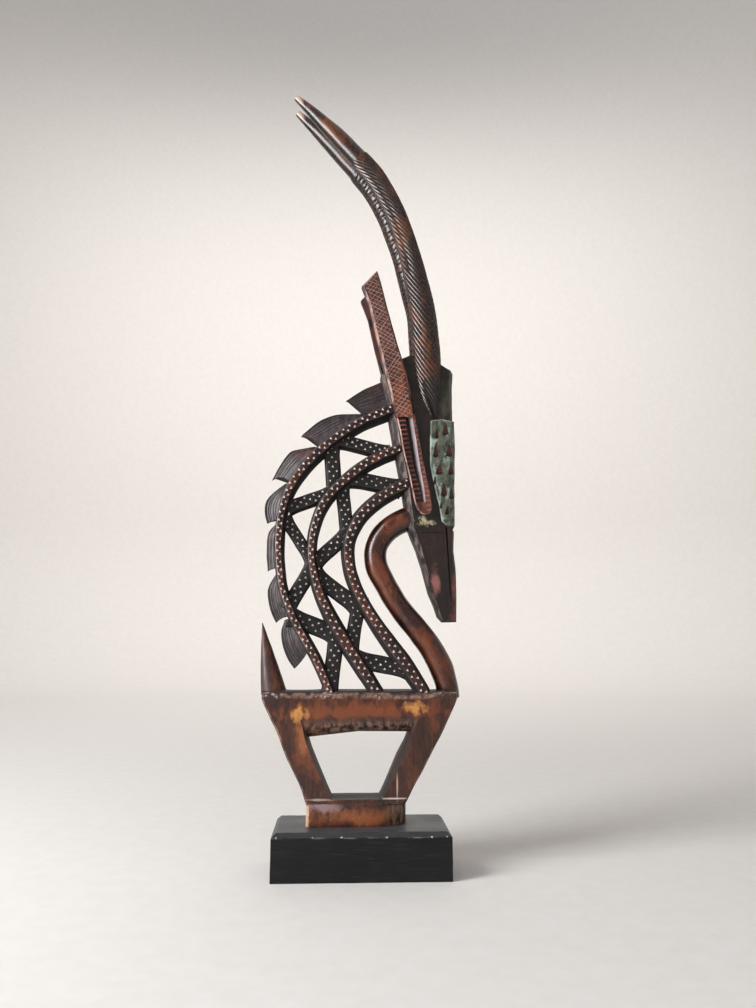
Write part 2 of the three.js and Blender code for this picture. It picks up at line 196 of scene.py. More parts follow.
PECK_SIZE = 3.0
PECK_DEPTH = 1.1
PECK_PITCH = 10.2
HATCH_PITCH = 6.6
HATCH_WIDTH = 0.9
FLUTES = 18
FLUTE_TWIST = 0.037
FLUTE_DEPTH = 1.25
NOTCH_PITCH = 6.8
NOTCH_DEPTH = 1.6


# Mesh helpers

def spline(points, count):
    """Catmull-Rom curve through the points, sampled count times, with its unit tangents."""
    p = np.array(points, float)
    p = np.vstack([2 * p[0] - p[1], p, 2 * p[-1] - p[-2]])
    t = np.linspace(0, len(p) - 3, count)
    i = np.minimum(t.astype(int), len(p) - 4)
    f = (t - i)[:, None]
    a, b, c, d = p[i], p[i + 1], p[i + 2], p[i + 3]
    place = b + 0.5 * ((c - a) * f + (2 * a - 5 * b + 4 * c - d) * f**2
                       + (3 * b - a - 3 * c + d) * f**3)
    slope = 0.5 * ((c - a) + 2 * (2 * a - 5 * b + 4 * c - d) * f
                   + 3 * (3 * b - a - 3 * c + d) * f**2)
    return place, slope / np.maximum(np.linalg.norm(slope, axis=1, keepdims=True), 1e-9)


def loft(rings):
    """Closed skin over rings that all have the same number of corners."""
    count = len(rings[0])
    corners = [tuple(corner) for ring in rings for corner in ring]
    faces = [list(range(count))[::-1], [(len(rings) - 1) * count + i for i in range(count)]]
    for k in range(len(rings) - 1):
        low, high = k * count, (k + 1) * count
        faces += [[low + i, low + (i + 1) % count, high + (i + 1) % count, high + i]
                  for i in range(count)]
    return corners, faces


def solid(name, skin, material, wobble=0.0, grain=18.0, second=None, picked=None):
    """Mesh object of a closed skin in carving millimetres, with a hand cut unevenness.

    The faces whose index is picked get the second material.
    """
    corners, faces = skin
    mesh = bpy.data.meshes.new(name)
    mesh.from_pydata([tuple(c) for c in corners], [], faces)
    mesh.materials.append(material)
    if second:
        mesh.materials.append(second)
        mesh.polygons.foreach_set("material_index", [int(picked(i)) for i in range(len(faces))])
    shape = bmesh.new()
    shape.from_mesh(mesh)
    bmesh.ops.recalc_face_normals(shape, faces=shape.faces)
    if shape.calc_volume(signed=True) < 0:
        bmesh.ops.reverse_faces(shape, faces=shape.faces)
    if wobble:
        for corner in shape.verts:
            corner.co += noise.noise_vector(corner.co / grain) * wobble
    shape.to_mesh(mesh)
    shape.free()
    piece = bpy.data.objects.new(name, mesh)
    bpy.context.scene.collection.objects.link(piece)
    return piece


def combine(base, tools, operation):
    """Joins or cuts base with each tool, and removes the tools."""
    for tool in tools:
        change = base.modifiers.new(tool.name, "BOOLEAN")
        change.operation = operation
        change.solver = "MANIFOLD"
        change.material_mode = "TRANSFER"
        change.object = tool
    depsgraph = bpy.context.evaluated_depsgraph_get()
    mesh = bpy.data.meshes.new_from_object(base.evaluated_get(depsgraph))
    base.modifiers.clear()
    base.data = mesh
    for tool in tools:
        bpy.data.objects.remove(tool)
    return base


def merged_skin(skins):
    """One skin that holds several closed skins that don't touch."""
    corners, faces = [], []
    for skin in skins:
        start = len(corners)
        corners += skin[0]
        faces += [[start + i for i in face] for face in skin[1]]
    return corners, faces


def inset(outline, scale=1.0):
    """Outline moved inwards by each point's own bevel."""
    p = np.array([row[:2] for row in outline], float)
    bevel = np.array([row[2] if len(row) > 2 else 1.0 for row in outline]) * scale
    after = np.roll(p, -1, axis=0)
    side = 1 if np.sum(p[:, 0] * after[:, 1] - after[:, 0] * p[:, 1]) > 0 else -1
    out = after - p
    out /= np.linalg.norm(out, axis=1, keepdims=True)
    into = np.roll(out, 1, axis=0)
    across = np.stack([-(into + out)[:, 1], (into + out)[:, 0]], 1)
    across /= np.linalg.norm(across, axis=1, keepdims=True)
    lean = np.abs(np.sum(across * np.stack([-into[:, 1], into[:, 0]], 1), 1))
    reach = np.minimum(1.6, 1 / np.maximum(0.3, lean))
    return p + across * (side * bevel * reach)[:, None]


def finer(outline, step):
    """The same outline with extra points along its long sides."""
    rows = [tuple(row) + (1.0,) * (3 - len(row)) for row in outline]
    result = []
    for here, there in zip(rows, rows[1:] + rows[:1]):
        here, there = np.array(here, float), np.array(there, float)
        parts = max(1, round(np.linalg.norm((there - here)[:2]) / step))
        result += [tuple(here + (there - here) * i / parts) for i in range(parts)]
    return result


def plate(outline, levels, step=9.0, place=None):
    """Skin over side outlines. Each level is y and how far along its bevel the outline is."""
    fine = finer(outline, step)
    rings = []
    for y, share in levels:
        ring = inset(fine, share)
        rings.append([(x, y, z) for x, z in ring])
    if place:
        rings = [[place(*corner) for corner in ring] for ring in rings]
    return loft(rings)


def bar(line, section, count, half, middle=0.0, flare=0.0):
    """Skin of a bar that follows a line, its section in half widths and half depths."""
    rows = np.array(line, float)
    centre, tangent = spline(rows[:, :2], count)
    width = spline(rows[:, 2:3], count)[0][:, 0]
    width = width * (1 + flare * np.abs(np.linspace(-1, 1, count)) ** 5)
    rings = []
    for (x, z), (tx, tz), w in zip(centre, tangent, width):
        rings.append([(x + tz * a * w, middle + b * half, z - tx * a * w) for a, b in section])
    return loft(rings)


def mirrored(points):
    """Section points followed by the same ones on the other side of the middle plane."""
    return points + [(a, -b) for a, b in reversed(points) if abs(b) > 1e-6]


def polar(sides):
    angles = [2 * math.pi * i / sides for i in range(sides)]
    return [(math.cos(angle), math.sin(angle)) for angle in angles]


# Half sections over the near side: across in half widths, along y in half depths.
RIB_OUTER = [(0.1, -1.015), (0.5, -1.005), (0.72, -0.975), (0.86, -0.88), (1.1, -0.5), (1.35, 0)]
RIB_INNER = [(-0.35, -1.01), (-0.58, -0.98), (-0.74, -0.88), (-0.97, -0.45), (-1.15, 0)]
RIB_SECTION = mirrored(RIB_OUTER) + mirrored(RIB_INNER)[::-1]
STRUT_OUTER = [(0, -1.01), (0.6, -1.0), (0.86, -0.93), (1.0, -0.75), (1.08, 0)]
STRUT_INNER = [(-0.6, -1.0), (-0.86, -0.93), (-1.0, -0.75), (-1.08, 0)]
STRUT_SECTION = mirrored(STRUT_OUTER) + mirrored(STRUT_INNER)[::-1]


# Cutters

def peck(x, z, surface, turn):
    """Small three cornered pit that stands on its base and slopes in to its point."""
    out = math.copysign(1, surface)
    raise_mouth = 0.5
    reach = PECK_SIZE * 0.58 * (1 + raise_mouth / PECK_DEPTH)
    mouth = [(x + reach * math.cos(turn + k * 2 * math.pi / 3), surface + out * raise_mouth,
              z + reach * math.sin(turn + k * 2 * math.pi / 3)) for k in range(3)]
    tip = (x - reach * 0.1, surface - out * PECK_DEPTH, z + reach * 0.3)
    return mouth + [tip], [[0, 1, 2], [0, 3, 1], [1, 3, 2], [2, 3, 0]]


def pecks_along(line, surface, lanes, pitch):
    """Staggered rows of pits along a line, on the face at y = surface."""
    track = np.array(line, float)
    fine, tangent = spline(track[:, :2], 400)
    width = spline(track[:, 2:3], 400)[0][:, 0]
    length = np.concatenate([[0], np.cumsum(np.linalg.norm(np.diff(fine, axis=0), axis=1))])
    pits = []
    for lane, offset in enumerate(lanes):
        for s in np.arange(pitch * (0.5 if lane % 2 else 1.0), length[-1], pitch):
            i = int(np.searchsorted(length, s))
            side = Vector((tangent[i][1], -tangent[i][0]))
            jitter = noise.noise_vector(Vector((fine[i][0], offset * 9, fine[i][1])) / 3)
            x = fine[i][0] + side.x * offset * width[i] + jitter.x * 0.7
            z = fine[i][1] + side.y * offset * width[i] + jitter.z * 0.7
            pits.append(peck(x, z, surface, math.pi / 2 + jitter.y * 0.7))
    return pits


def groove(start, end, surface, width, depth, stick_out=0.4):
    """Straight V cut in a face that looks along y, from start to end (x, z)."""
    into = -math.copysign(1, surface)
    a, b = np.array(start, float), np.array(end, float)
    along = (b - a) / np.linalg.norm(b - a)
    across = np.array([-along[1], along[0]]) * width / 2 * (1 + stick_out / depth)
    rings = []
    for point in (a, b):
        left, right = point + across, point - across
        rings.append([(left[0], surface - into * stick_out, left[1]),
                      (right[0], surface - into * stick_out, right[1]),
                      (point[0], surface + into * depth, point[1])])
    return loft(rings)


# Procedural materials

class Shader:
    """Node tree of one Principled material, read in metres in the object's own frame."""

    def __init__(self, name):
        self.material = bpy.data.materials.new(name)
        self.material.use_nodes = True
        self.tree = self.material.node_tree
        self.surface = self.tree.nodes["Principled BSDF"]
        coordinates = self.tree.nodes.new("ShaderNodeTexCoord")
        self.place = coordinates.outputs["Object"]
        self.normal = coordinates.outputs["Normal"]

    def add(self, kind, inputs=(), **settings):
        made = self.tree.nodes.new("ShaderNode" + kind)
        for key, value in settings.items():
            setattr(made, key, value)
        for key, value in dict(inputs).items():
            self.feed(made.inputs[key], value)
        return made

    def feed(self, socket, value):
        if isinstance(value, bpy.types.NodeSocket):
            self.tree.links.new(value, socket)
        else:
            socket.default_value = value

    def stretched(self, scale, lean=0.0):
        """Object coordinates for a texture. lean tips its upright grain towards +X, in degrees."""
        place = self.place
        if lean:
            place = self.add("VectorRotate", {"Vector": place, "Angle": -math.radians(lean)},
                             rotation_type="Y_AXIS").outputs[0]
        return self.add("Mapping", {"Vector": place, "Scale": scale}).outputs[0]

    def noise(self, scale, detail=4.0, rough=0.6, twist=0.0, lean=0.0):
        return self.add("TexNoise", {"Vector": self.stretched(scale, lean), "Scale": 1.0,
                                     "Detail": detail, "Roughness": rough,
                                     "Distortion": twist}).outputs["Fac"]

    def cells(self, scale, feature="F1"):
        return self.add("TexVoronoi", {"Vector": self.stretched(scale), "Scale": 1.0},
                        feature=feature).outputs["Distance"]

    def span(self, value, low, high, to_low=0.0, to_high=1.0):
        return self.add("MapRange", {"Value": value, "From Min": low, "From Max": high,
                                     "To Min": to_low, "To Max": to_high}).outputs[0]

    def math(self, operation, a, b=0.0):
        made = self.add("Math", operation=operation, use_clamp=operation in ("ADD", "SUBTRACT"))
        self.feed(made.inputs[0], a)
        self.feed(made.inputs[1], b)
        return made.outputs[0]

    def times(self, *values):
        product = values[0]
        for value in values[1:]:
            product = self.math("MULTIPLY", product, value)
        return product

    def part(self, source, axis):
        """X, Y or Z of the place or the normal."""
        return self.add("SeparateXYZ", {0: source}).outputs[axis]

    def facing(self):
        """1 where the surface looks along y, 0 where it looks sideways, up or down."""
        return self.math("ABSOLUTE", self.part(self.normal, "Y"))

    def mix(self, share, a, b, blend="MIX"):
        made = self.add("Mix", data_type="RGBA", blend_type=blend)
        self.feed(made.inputs["Factor"], share)
        for key, value in (("A", a), ("B", b)):
            socket = [s for s in made.inputs if s.name == key and s.type == "RGBA"][0]
            self.feed(socket, value if isinstance(value, bpy.types.NodeSocket) else linear(value))
        return [s for s in made.outputs if s.type == "RGBA"][0]

    def spot(self, centre, reach, ragged=0.5):
        """1 at a place in carving millimetres, fading raggedly to 0 at its reach."""
        x, y, z = centre
        moved = self.add("VectorMath", {0: self.place, 1: (x * MM, (y + CARVING_Y) * MM, z * MM)},
                         operation="SUBTRACT").outputs[0]
        scaled = self.add("VectorMath", {0: moved, 1: tuple(1 / (r * MM) for r in reach)},
                          operation="MULTIPLY").outputs[0]
        far = self.add("VectorMath", {0: scaled}, operation="LENGTH").outputs["Value"]
        uneven = self.span(self.noise((90, 90, 60), 5), 0.3, 0.7, -ragged, ragged)
        return self.span(self.math("ADD", far, uneven), 1.0, 0.35)

    def finish(self, colour, roughness, height, strength=0.4, distance=0.0006, **fixed):
        self.feed(self.surface.inputs["Base Color"], colour)
        self.feed(self.surface.inputs["Roughness"], roughness)
        bump = self.add("Bump", {"Height": height, "Strength": strength, "Distance": distance})
        self.feed(self.surface.inputs["Normal"], bump.outputs[0])
        for key, value in fixed.items():
            self.surface.inputs[key.replace("_", " ")].default_value = value
        return self.material


def linear(hex_colour):
    """Linear colour of a hexadecimal one."""
    parts = [int(hex_colour[i:i + 2], 16) / 255 for i in (0, 2, 4)]
    return tuple(c / 12.92 if c < 0.04045 else ((c + 0.055) / 1.055) ** 2.4 for c in parts) + (1,)


def wood(name, dark, body, warm, worn_and_lit, warmth=0.5, rough=0.3, painted_side_shade=0.8, bevel_wear_and_highlight=0.7, tools=0.4,
         coat=0.35, lean=0.0, extra=None):
    """Oiled hardwood with upright grain, faces turned sideways made near black as painted shade, undersides
    near black as painted shade and dirt, and pale bevels that are partly real rubbing and partly a painted
    highlight.
    """
    s = Shader(name)
    grain = s.noise((430, 430, 24), 6, 0.72, 0.5, lean)
    fibre = s.noise((1500, 1500, 60), 3, 0.7, 0.0, lean)
    patch = s.noise((30, 30, 17), 4, 0.62, 0.6, lean)
    stain = s.noise((75, 75, 24), 5, 0.75, 0.3, lean)
    colour = s.mix(s.span(grain, 0.38, 0.6), dark, body)
    colour = s.mix(s.span(patch, 0.66 - 0.35 * warmth, 0.8 - 0.35 * warmth), colour, warm)
    colour = s.mix(s.span(stain, 0.54, 0.66, 0, 0.85), colour, dark)
    colour = s.mix(s.span(fibre, 0.42, 0.7, 0, 0.55), colour, dark)
    colour = s.mix(s.times(s.span(fibre, 0.44, 0.3), s.span(stain, 0.5, 0.35), 0.35), colour, worn_and_lit)
    if extra:
        colour = extra(s, colour)
    facing = s.facing()
    # Faces turned sideways go near black: painted shade.
    colour = s.mix(s.times(s.span(facing, 0.72, 0.3), painted_side_shade), colour, "120c0b")
    # Faces turned down go near black: painted shade, with dirt.
    colour = s.mix(s.span(s.part(s.normal, "Z"), -0.15, -0.6, 0, 0.85), colour, "0c0908")
    # Pale bevels: partly real rubbing of the wood, partly a painted highlight.
    rubbed_and_lit_bevels = s.times(s.span(facing, 0.4, 0.62), s.span(facing, 0.965, 0.9),
                     s.span(s.noise((160, 160, 60), 4), 0.42, 0.6))
    colour = s.mix(s.times(rubbed_and_lit_bevels, bevel_wear_and_highlight), colour, worn_and_lit)
    uneven = s.math("ADD", s.times(patch, 0.5), s.times(stain, 0.5))
    roughness = s.math("ADD", s.span(uneven, 0.3, 0.7, rough - 0.08, rough + 0.16),
                       s.span(facing, 0.6, 0.25, 0, 0.8 * painted_side_shade * (bevel_wear_and_highlight > 0)))
    facets = s.cells((105, 105, 62), "SMOOTH_F1")
    height = s.math("ADD", s.times(grain, 0.5), s.times(fibre, 0.3))
    height = s.math("ADD", height, s.times(facets, tools * 0.5))
    return s.finish(colour, roughness, height, Coat_Weight=coat, Coat_Roughness=0.16)


def plain_cut(name, low, high, roughness=0.75):
    """Two tones inside a small cut, mixed along a fine grain."""
    s = Shader(name)
    grain = s.noise((600, 600, 80), 4, 0.7)
    return s.finish(s.mix(s.span(grain, 0.35, 0.65), low, high), roughness, grain)


def body_spots(s, colour):
    """Ochre scuffed places, a painted highlight as an orange band along the rounded front, a dark crown
    along the back, and pale scuffs where the ribs stand.
    """
    # Orange band along the middle of the front: painted highlight of the rounded body.
    painted_lit_band = s.times(s.spot((0, -30, 198), (120, 30, 13), 0.7), 0.75)
    colour = s.mix(painted_lit_band, colour, "7c3f1f")
    for centre, reach in (((-80, -30, 194), (12, 20, 10)), ((67, -30, 203), (17, 20, 9))):
        colour = s.mix(s.times(s.spot(centre, reach, 0.7), 0.85), colour, "c98a48")
    colour = s.mix(s.spot((-74, -30, 165), (12, 20, 30)), colour, "8a5330")
    crown = s.times(s.span(s.part(s.place, "Z"), 0.211, 0.218), 0.8)
    colour = s.mix(crown, colour, "332828")
    scuffs = s.span(s.noise((260, 260, 260), 3, 0.7), 0.56, 0.62)
    for centre, reach in (((-42, -26, 219), (24, 14, 7)), ((26, -26, 219), (20, 14, 6)),
                          ((84, -26, 220), (24, 14, 6)), ((-118, -20, 219), (30, 22, 5))):
        colour = s.mix(s.times(s.spot(centre, reach), scuffs), colour, "cdbcb2")
    crack = s.times(s.spot((45, -30, 105), (1.3, 8, 22), 0.1), 0.8)
    colour = s.mix(crack, colour, "c9aa96")
    seam = s.times(s.spot((-52, -30, 90), (24, 10, 1.8), 0.3), 0.75)
    colour = s.mix(seam, colour, "b99c93")
    seam = s.times(s.spot((42, -26, 91), (26, 14, 1.5), 0.2), 0.9)
    return s.mix(seam, colour, "dccbc2")


def foot_spots(s, colour):
    colour = s.mix(s.spot((-48, -30, 82), (26, 14, 9)), colour, "8d7578")
    colour = s.mix(s.times(s.spot((0, -30, 68), (60, 12, 12)), 0.7), colour, "99552b")
    colour = s.mix(s.spot((-69, -30, 66), (4, 12, 22)), colour, "c7a590")
    # Near black on the foot's rounded right end: painted shade on the side away from the light.
    colour = s.mix(s.spot((50, -14, 72), (18, 30, 30)), colour, "150e0c")
    speck = s.span(s.noise((420, 420, 160), 3, 0.6), 0.64, 0.7)
    colour = s.mix(s.times(speck, s.spot((0, -30, 64), (70, 14, 10))), colour, "d8b08a")
    return s.mix(s.span(s.part(s.normal, "Z"), 0.6, 0.9), colour, "6d6a6a")


def horn_spots(s, colour):
    """Pale scuffed point of each horn, and a dark root."""
    colour = s.mix(s.span(s.part(s.place, "X"), -0.088, -0.096), colour, "b79a8d")
    return s.mix(s.spot((96, -16, 610), (40, 40, 46)), colour, "150e0c")


def ear_spots(s, colour):
    """Purple brown upper ear with black blotches."""
    colour = s.mix(s.span(s.part(s.place, "Z"), 0.66, 0.7, 0, 0.7), colour, "4a2e2e")
    blotch = s.span(s.noise((95, 95, 60), 4, 0.7, 0.5), 0.58, 0.63)
    return s.mix(blotch, colour, "1a0f12")


def brow_spots(s, colour):
    """Green patina that has stayed in patches on the face."""
    film = s.noise((105, 105, 60), 5, 0.7, 0.8)
    green = s.mix(s.span(film, 0.42, 0.56), "2c2f27", "565d4e")
    pale = s.span(s.noise((85, 85, 50), 5, 0.72), 0.53, 0.62)
    green = s.mix(pale, green, "8fa096")
    bare = s.span(s.noise((110, 110, 45), 5, 0.75), 0.6, 0.66)
    return s.mix(s.math("SUBTRACT", 1.0, bare), colour, green)


def head_spots(s, colour):
    """Green film on the brow, smears below the loop and a reddish front of the muzzle."""
    film = s.span(s.noise((80, 80, 40), 5, 0.72), 0.4, 0.6)
    colour = s.mix(s.times(s.spot((120, 0, 625), (30, 60, 70)), film), colour, "3f4639")
    smear = s.span(s.noise((130, 130, 90), 4, 0.7), 0.47, 0.55)
    for centre, reach in (((76, -24, 447), (10, 14, 9)), ((92, -24, 442), (9, 14, 6))):
        colour = s.mix(s.times(s.spot(centre, reach), smear), colour, "b3ab86")
    colour = s.mix(s.times(s.spot((128, 0, 345), (12, 40, 60)), 0.7), colour, "7c4038")
    colour = s.mix(s.times(s.spot((98, -15, 365), (7, 9, 26)), 0.8), colour, "94605c")
    return colour


def painted(name):
    """Black paint, brushed along the block, greyed on top by a dusty film and a painted sheen, and thin at
    the edges.
    """
    s = Shader(name)
    brush = s.noise((26, 60, 620), 5, 0.75, 0.3)
    strokes = s.span(brush, 0.55, 0.66, 0, 0.6)
    colour = s.mix(s.span(s.noise((16, 16, 60), 4), 0.35, 0.7), "0a0a0c", "131315")
    colour = s.mix(strokes, colour, "35322f")
    # Grey on upward faces: a dusty film, and a painted sheen of the lit top.
    dust_and_sheen = s.span(s.part(s.normal, "Z"), 0.5, 0.95)
    colour = s.mix(dust_and_sheen, colour, s.mix(s.span(s.noise((30, 90, 30), 5), 0.35, 0.7), "3a3c3e",
                                       "4d4e50"))
    height = s.part(s.place, "Z")
    edge = s.times(s.span(height, 0.0502, 0.0512), s.span(height, 0.0526, 0.0516),
                   s.span(s.noise((55, 55, 400), 5, 0.7), 0.5, 0.6))
    colour = s.mix(s.times(edge, 0.8), colour, "77706a")
    roughness = s.span(s.noise((18, 18, 18), 4), 0.3, 0.7, 0.34, 0.5)
    return s.finish(colour, roughness, brush, 0.5, 0.0004, Specular_IOR_Level=0.3)


LATTICE = wood("lattice_wood", "150c0b", "35170f", "5a2a1a", "a8887c", 0.45, 0.34, painted_side_shade=0.95, coat=0)
STRUT_WOOD = wood("strut_wood", "0b090a", "191214", "2a1e20", "6f686a", 0.3, 0.38, painted_side_shade=0.9, coat=0)
LEAF_WOOD = wood("leaf_wood", "181012", "2c1f22", "45261f", "7a6868", 0.35, 0.4, painted_side_shade=0.3, bevel_wear_and_highlight=0.3,
                 coat=0)
NECK_WOOD = wood("neck_wood", "190b09", "441a10", "74381a", "a07a66", 0.6, 0.26, painted_side_shade=0.8,
                 bevel_wear_and_highlight=0, tools=0.15, coat=0.3, lean=-28)
HORN_WOOD = wood("horn_wood", "170d0a", "3a1e12", "743f18", "b89a8c", 0.5, 0.24, painted_side_shade=0.7,
                 bevel_wear_and_highlight=0, tools=0.05, coat=0.3, lean=-12, extra=horn_spots)
EAR_WOOD = wood("ear_wood", "220e0c", "521f15", "7a3a20", "b58a76", 0.6, 0.4, coat=0.1,
                extra=ear_spots)
LOOP_WOOD = wood("loop_wood", "32130e", "74382a", "8a4c38", "c09a8a", 0.6, 0.42, coat=0.1)
HEAD_WOOD = wood("head_wood", "0d0808", "24120f", "38201a", "7a6862", 0.35, 0.36, painted_side_shade=0.5,
                 coat=0.1, extra=head_spots)
BROW_WOOD = wood("brow_wood", "2a1c18", "4a342a", "54483a", "98a296", 0.4, 0.55, painted_side_shade=0.4,
                 coat=0, extra=brow_spots)
BODY_WOOD = wood("body_wood", "1c0d09", "4a2214", "6a3618", "9a7662", 0.5, 0.36, coat=0.15,
                 extra=body_spots)
FOOT_WOOD = wood("foot_wood", "220f0b", "5a2c18", "7a431f", "a88060", 0.55, 0.4, painted_side_shade=0.5,
                 coat=0.1, extra=foot_spots)
TAIL_WOOD = wood("tail_wood", "20120f", "5a3228", "74432e", "a08478", 0.5, 0.42, painted_side_shade=0.35, bevel_wear_and_highlight=0,
                 coat=0.1)
# Near white inside the pecks: a dusty fill, and a painted highlight on their lit floors.
DUST_AND_HIGHLIGHT_CUT = plain_cut("dust_and_highlight_cut", "b9aaa4", "f2eae6", 0.6)
HATCH_CUT = plain_cut("hatch_cut", "7a5648", "b8978a", 0.6)
# Near black inside deep cuts: painted shade.
PAINTED_SHADE_CUT = plain_cut("painted_shade_cut", "0f0909", "241412", 0.6)
CHIP_CUT = plain_cut("chip_cut", "3a201c", "6d4038", 0.6)
FLUTE_CUT = plain_cut("flute_cut", "160d0a", "3a2016", 0.4)
# Pale slope in the loop's slot: painted light on the wall that faces the lamp.
PAINTED_LIT_WALL_CUT = plain_cut("painted_lit_wall_cut", "7d7276", "a89da0", 0.4)
BLACK_PAINT = painted("brushed_black")
BARE_EDGE = plain_cut("bare_edge", "9a8a80", "d8ccc2", 0.7)


# Parts of the carving

def make_rib(name, line):
    piece = solid(name, bar(line, RIB_SECTION, len(line) * 9, RIB_HALF), LATTICE, 0.35)
    pits = []
    for surface in (-RIB_HALF, RIB_HALF):
        pits += pecks_along(line, surface, (-0.27, 0.42), PECK_PITCH)
    # Pecks filled near white: a dusty fill and a painted highlight.
    return combine(piece, [solid("pits", merged_skin(pits), DUST_AND_HIGHLIGHT_CUT)], "DIFFERENCE")


def make_strut(index, row):
    x1, z1, x2, z2, width = row
    line = [(x1, z1, width / 2), ((x1 + x2) / 2, (z1 + z2) / 2, width / 2), (x2, z2, width / 2)]
    skin = bar(line, STRUT_SECTION, 16, STRUT_HALF, flare=0.3)
    piece = solid(f"strut_{index}", skin, STRUT_WOOD, 0.4)
    pits = []
    for surface in (-STRUT_HALF, STRUT_HALF):
        pits += pecks_along(line, surface, (-0.5, 0.0, 0.5), 13.0)
    # Pecks filled near white: a dusty fill and a painted highlight.
    return combine(piece, [solid("pits", merged_skin(pits), DUST_AND_HIGHLIGHT_CUT)], "DIFFERENCE")


def make_leaf(index, row):
    """Thin leaf that thickens to its root, with shallow cuts along it on both faces."""
    edge, root, low, high = row
    stations = 15
    outer = spline(edge, stations)[0]
    inner = spline(root, stations)[0]
    shares = sorted({0.0, 0.06, 0.8, 0.92, 1.0} | {c + d for c in LEAF_CUTS for d in (-0.03, 0, 0.03)})
    rings = []
    for k in range(stations):
        s = k / (stations - 1)
        near = []
        for t in shares:
            bow = 4 * t * (1 - t)
            x, z = outer[k] + (inner[k] - outer[k]) * t
            x += bow * ((1 - s) ** 2 * low[0] + s ** 2 * high[0])
            z += bow * ((1 - s) ** 2 * low[1] + s ** 2 * high[1])
            half = LEAF_EDGE_HALF + (LEAF_ROOT_HALF - LEAF_EDGE_HALF) * t ** 1.4
            cut = LEAF_CUT_DEPTH if t in LEAF_CUTS else 0.0
            near.append((x, -half + cut, z))
        far = [(x, -y, z) for x, y, z in reversed(near)]
        rings.append(near + far)
    return solid(f"leaf_{index}", loft(rings), LEAF_WOOD, 0.5, 14)


def make_neck():
    return solid("neck", bar(NECK, polar(32), 90, NECK_FLAT), NECK_WOOD, 0.8, 22)


def bowed(line, side):
    """The far horn bows back a little more than the near one."""
    rows = []
    for x, z, width, spread in line:
        rise = min(1.0, max(0.0, (z - 760) / 230))
        shift = HORN_BOW * math.sin(math.pi * rise) if side > 0 else 0.0
        rows.append((x - shift, z, width, spread))
    return rows


def horn_rings(line, side, count, sides, flute):
    """Rings of a horn. flute gives the radius share at an angle and a length."""
    rows = np.array(bowed(line, side), float)
    centre, tangent = spline(rows[:, :2], count)
    width = spline(rows[:, 2:3], count)[0][:, 0]
    spread = spline(rows[:, 3:4], count)[0][:, 0]
    run = np.concatenate([[0], np.cumsum(np.linalg.norm(np.diff(centre, axis=0), axis=1))])
    rings = []
    for k in range(count):
        (x, z), (tx, tz) = centre[k], tangent[k]
        w, flat = width[k], min(width[k], HORN_FLAT)
        ring = []
        for i in range(sides):
            angle, share = flute(i, run[k], w)
            a, b = math.cos(angle) * share, math.sin(angle) * share
            ring.append((x + tz * a * w, side * (spread[k] * HORN_SPACING + b * flat), z - tx * a * w))
        rings.append(ring)
    return rings


def make_horn(side):
    """Smooth tip, twisted flutes below it, and short notches on the side next to the other horn."""
    name = "far" if side > 0 else "near"

    def smooth(i, run, width):
        return 2 * math.pi * i / 32, 1.0

    def twisted(i, run, width):
        tooth, corner = divmod(i, 6)
        turn, flute = ((0.0, 1.0), (0.1, 0.55), (0.28, 0.1), (0.5, -0.12), (0.72, 0.1), (0.9, 0.55))[corner]
        angle = 2 * math.pi * (tooth + turn) / FLUTES + FLUTE_TWIST * run
        inner = min(1.0, max(0.0, (-math.sin(angle) - 0.05) / 0.2))
        cut = NOTCH_DEPTH * max(0.0, 1 - abs((run + 1.5 * angle) % NOTCH_PITCH - 2) / 1.8)
        depth = (1 - inner) * flute * FLUTE_DEPTH + inner * cut
        return angle, 1 - depth / width * min(1.0, run / 6)

    tip = solid("tip_" + name, loft(horn_rings(HORN_TIP, side, 40, 32, smooth)), HORN_WOOD, 0.5, 30)
    stem = solid("stem_" + name, loft(horn_rings(HORN_STEM, side, 215, 6 * FLUTES, twisted)),
                 HORN_WOOD, 0.5, 30, FLUTE_CUT, lambda i: i > 1 and (i - 2) % 6 in (0, 5))
    return combine(tip, [stem], "UNION")


def muzzle_taper(x, y, z):
    low, high = MUZZLE_TAPER
    share = min(1.0, max(0.0, (high - z) / (high - low)))
    return x, y * (1 + (MUZZLE_HALF / HEAD_HALF - 1) * share), z


def hatch_lines(surface):
    """Two crossing sets of scratched lines over the ear."""
    root, point = np.array([57.0, 590.0]), np.array([8.0, 792.0])
    length = np.linalg.norm(point - root)
    axis = (point - root) / length
    across = np.array([axis[1], -axis[0]])
    reach = 17.0
    families = []
    for lean in (1, -1):
        cuts = []
        for s in np.arange(-2.0, length + 14, HATCH_PITCH):
            shake = noise.noise_vector(Vector((s * 0.37, lean * 5.0, 0.3)))
            middle = root + axis * (s + 3.0 * shake.x)
            slant = axis * (0.62 + 0.25 * shake.y) * lean + across * 0.78
            start, end = -reach * min(1.0, 0.6 + abs(shake.z)), reach * min(1.0, 0.6 + abs(shake.y))
            cuts.append(groove(middle + slant * start, middle + slant * end, surface,
                               HATCH_WIDTH * (0.8 + abs(shake.z)), 0.4))
        families.append(cuts)
    return families


def strips_at(z):
    """Strap positions across at a height, in the order of the strips' table."""
    heights = [row[0] for row in STRAP_STRIPS]
    return [float(np.interp(z, heights, [row[k] for row in STRAP_STRIPS])) for k in range(1, 6)]


